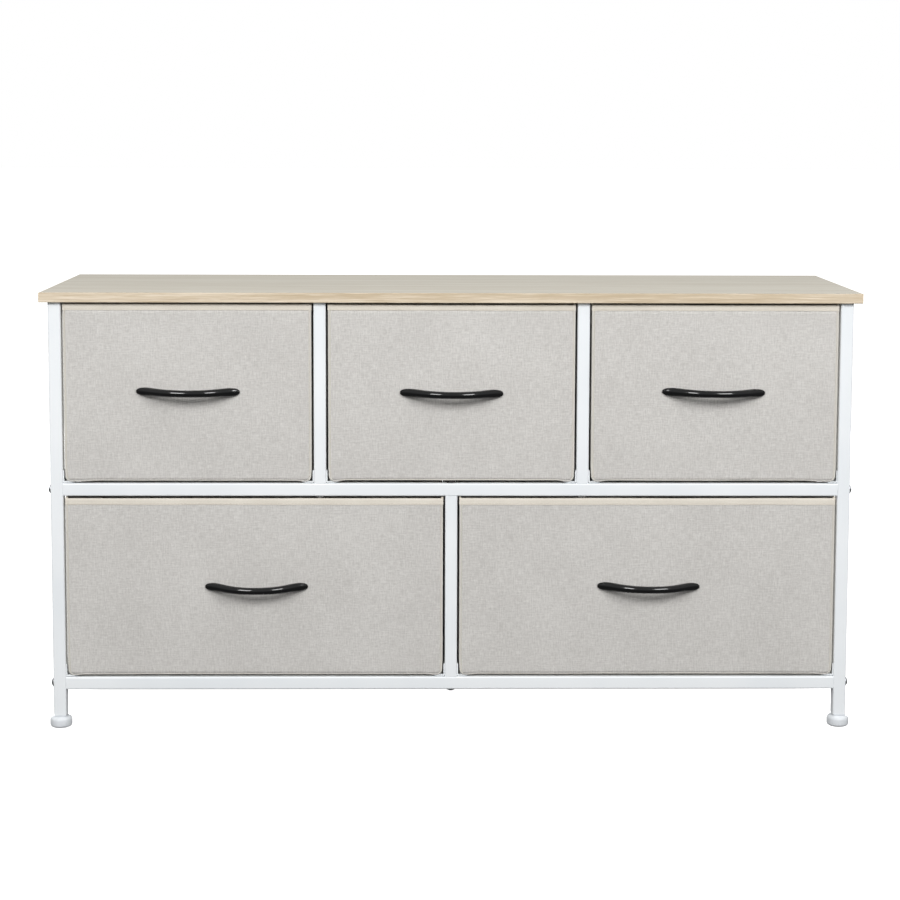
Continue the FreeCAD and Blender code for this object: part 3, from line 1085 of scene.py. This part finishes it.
for name in drawers:
    low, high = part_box(name + "_handle")
    middle = (low + high) / 2
    aside, off, tilt, droop = habits[name][2:]
    middle += Vector((aside, 0, off)) * mm
    bm = bow(droop)
    place = Matrix.Translation((middle.x, high.y, middle.z))
    place = place @ Matrix.Rotation(radians(tilt), 4, "Y")
    bmesh.ops.transform(bm, matrix=place, verts=bm.verts)
    made = new_object(name + "_bow", bm, black, sharp=70.0)
    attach(made, name + "_drawer")
    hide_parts(name + "_handle")
    screw_y = pocket_back(name) + 0.1 * mm
    places = [(Vector((middle.x + side * screw_reach, screw_y, middle.z)), Y) for side in (-1, 1)]
    made = set_copies(name + "_handle_screws", screw_piece, places, bright_zinc)
    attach(made, name + "_drawer")

for piece in (bead, bolt_piece, screw_piece, stitch_piece):
    bpy.data.objects.remove(piece)


# ------------------------------------------------------------------ light, floor and camera

scene = bpy.context.scene
scene.view_settings.view_transform = "Standard"

world = bpy.data.worlds.new("studio")
world.use_nodes = True
scene.world = world
tree = Tree(world.node_tree)
seen = tree.node("ShaderNodeLightPath", output="Is Camera Ray")
toward = tree.node("ShaderNodeTexCoord", output="Generated")
height = tree.node("ShaderNodeSeparateXYZ", {0: toward}, output=2)
# Plain white to the camera; as light it is dim, and dimmest from below.
strength = seen + (1.0 - seen) * (height.ramp(-0.2, 0.3) * 0.36 + 0.14)
sky = tree.node("ShaderNodeBackground", {"Color": (1.0, 1.0, 1.0, 1.0), "Strength": strength})
tree.node("ShaderNodeOutputWorld", {"Surface": sky})


def softbox(name, place, aim, width, height, power):
    """Soft area light aimed at a point."""
    light = bpy.data.lights.new(name, "AREA")
    light.shape = "RECTANGLE"
    light.size, light.size_y, light.energy = width, height, power
    made = add_object(name, light)
    made.location = place
    made.rotation_mode = "QUATERNION"
    made.rotation_quaternion = (Vector(aim) - Vector(place)).to_track_quat("-Z", "Y")


softbox("front_left_softbox", (-1.1, -2.0, 1.5), (0, -0.1, 0.2), 0.9, 0.75, 29.0)
softbox("front_right_softbox", (1.15, -1.8, 1.45), (0, -0.1, 0.2), 0.9, 0.75, 26.0)
softbox("back_left_softbox", (-1.3, 2.2, 0.28), (0, 0, 0.25), 1.6, 0.45, 19.0)
softbox("back_right_softbox", (1.3, 2.2, 0.28), (0, 0, 0.25), 1.6, 0.45, 19.0)

bm = bmesh.new()
bmesh.ops.create_grid(bm, x_segments=2, y_segments=2, size=30.0)
bmesh.ops.translate(bm, verts=bm.verts, vec=(0, 0, -0.3 * mm))
paper = Finish("studio_paper", Roughness=0.9, Emission_Color=(1.0, 1.0, 1.0, 1.0),
               Emission_Strength=0.92)
grey, pale = (0.86, 0.86, 0.86, 1.0), (0.9, 0.9, 0.9, 1.0)
paper.set("Base Color", paper.mix(paper.noise(paper.place, 3.0), grey, pale))
floor = new_object("studio_floor", bm, paper.material)
floor.visible_glossy = floor.visible_diffuse = False

# All three in pixels of the finished image.
image_width, focal_length, lens_shift = 900, 2026.2, -130
yaw, pitch, roll = radians(-0.852), radians(-5.549), radians(-0.168)
camera = bpy.data.cameras.new("camera")
camera.sensor_width = 36.0
camera.lens = focal_length / image_width * camera.sensor_width
camera.shift_x, camera.shift_y = 0.0, lens_shift / image_width
camera.clip_start, camera.clip_end = 0.05, 100.0
eye = add_object("camera", camera)
turn = Matrix.Rotation(yaw, 4, "Z") @ Matrix.Rotation(pitch, 4, "X")
turn = turn @ Matrix.Rotation(roll, 4, "Y") @ Matrix.Rotation(pi / 2, 4, "X")
eye.matrix_world = Matrix.Translation((-38.7 * mm, -2585.2 * mm, 745.0 * mm)) @ turn
scene.camera = eye
